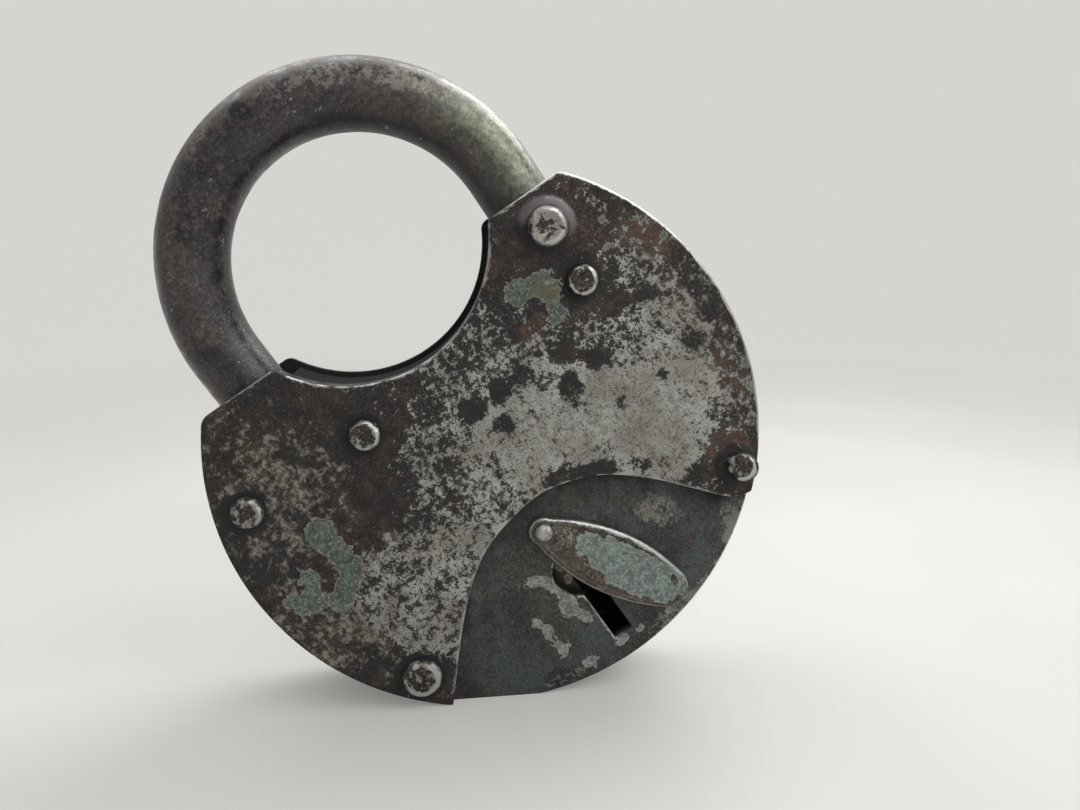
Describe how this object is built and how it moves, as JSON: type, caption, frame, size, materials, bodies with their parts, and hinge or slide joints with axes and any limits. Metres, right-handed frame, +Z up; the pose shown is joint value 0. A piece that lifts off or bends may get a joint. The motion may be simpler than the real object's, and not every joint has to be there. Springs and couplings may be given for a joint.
{
  "type": "padlock",
  "caption": "Old round plate padlock with a thick bow shackle, a swinging keyhole cover and warded lock works, rusty and worn.",
  "frame": {"origin": "under the middle of the object's box, on the ground that the worn flat of the rim stands on", "axes": "+Z up as it stands, +Y from the front face towards the back face, +X to the right as seen from the front; the lock's own axis leans 34.2 degrees to the left of +Z"},
  "size_m": [0.1081, 0.0234, 0.1177],
  "materials": {
    "pitted_steel": "bare worn steel with fine dark pits and brown rust",
    "dark_steel": "dark blue-grey oxide with brown mottling and light scratches",
    "brown_steel": "smooth brown-black rust patina",
    "worn_rivet": "hammered heads, worn bright at the edge, rusty in the pits",
    "painted_cover": "flaked pale grey-green paint over rusty steel with a bright worn edge",
    "inner_steel": "dark oiled steel with light rust",
    "rusty_drum": "brown rust with a little paint left",
    "spring_steel": "dull grey spring leaf"
  },
  "bodies": {
    "case": {"back_plate": "pitted_steel", "keyhole_plate": "dark_steel", "front_plate": "pitted_steel", "rim_band": "brown_steel", "throat_band": "brown_steel", "shackle_pivot_rivet": "worn_rivet", "rivet_right_upper": "worn_rivet", "rivet_left_inner": "worn_rivet", "rivet_left_outer": "worn_rivet", "rivet_lower_left": "worn_rivet", "rivet_lower_right": "worn_rivet", "spacer_right_upper": "inner_steel", "spacer_left_outer": "inner_steel", "spacer_lower_left": "inner_steel", "cover_rivet": "worn_rivet", "bolt_stud": "inner_steel", "bolt_collar": "inner_steel", "bolt_spring": "spring_steel", "spring_block": "inner_steel", "drum_post": "inner_steel", "ward_ring_front": "inner_steel", "ward_ring_back": "inner_steel"},
    "shackle": {"shackle": "brown_steel"},
    "keyhole_cover": {"keyhole_cover": "painted_cover"},
    "bolt": {"bolt": "inner_steel"},
    "key_drum": {"key_drum": "rusty_drum"}
  },
  "joints": [
    {"name": "shackle_hinge", "type": "hinge", "parent": "case", "child": "shackle", "pos_m": [0.01375, 0.00243, 0.08838], "axis": [0, 1, 0], "range_deg": [0, 75]},
    {"name": "cover_hinge", "type": "hinge", "parent": "case", "child": "keyhole_cover", "pos_m": [0.01328, -0.00698, 0.03329], "axis": [0, 1, 0], "range_deg": [-32, 87]},
    {"name": "bolt_slide", "type": "slide", "parent": "case", "child": "bolt", "axis": [-0.8271, 0, -0.5621], "range_m": [0, 0.0058], "deforming": ["bolt_spring"]},
    {"name": "drum_turn", "type": "hinge", "parent": "case", "child": "key_drum", "pos_m": [0.02033, 0.00243, 0.02478], "axis": [0, 1, 0], "continuous": true}
  ]
}
